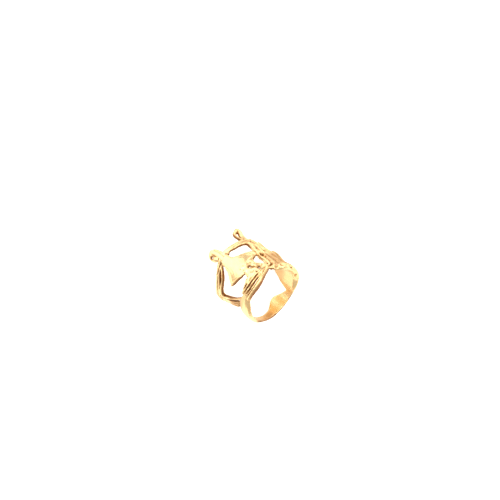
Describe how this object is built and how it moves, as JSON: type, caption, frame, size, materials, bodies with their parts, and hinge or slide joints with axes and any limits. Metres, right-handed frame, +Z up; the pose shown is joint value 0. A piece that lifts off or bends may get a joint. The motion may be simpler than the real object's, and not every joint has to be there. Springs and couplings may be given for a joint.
{
  "type": "finger ring",
  "caption": "Finger ring cast in one piece: an openwork head of twigs and webs, eyed prongs past the far rim, and a plain band behind the finger.",
  "frame": {"origin": "middle of the bounding box on the surface that the ring lies on", "axes": "+Z up from the surface; the finger hole's axis lies in the YZ plane, its near end towards +Y and up, its far end towards -Y and down"},
  "size_m": [0.0222, 0.0296, 0.019],
  "materials": {
    "bronze": "cast, worn to a warm sheen on the high places and dark in the folds"
  },
  "bodies": {
    "root": {"cast_ring": "bronze"}
  },
  "joints": []
}
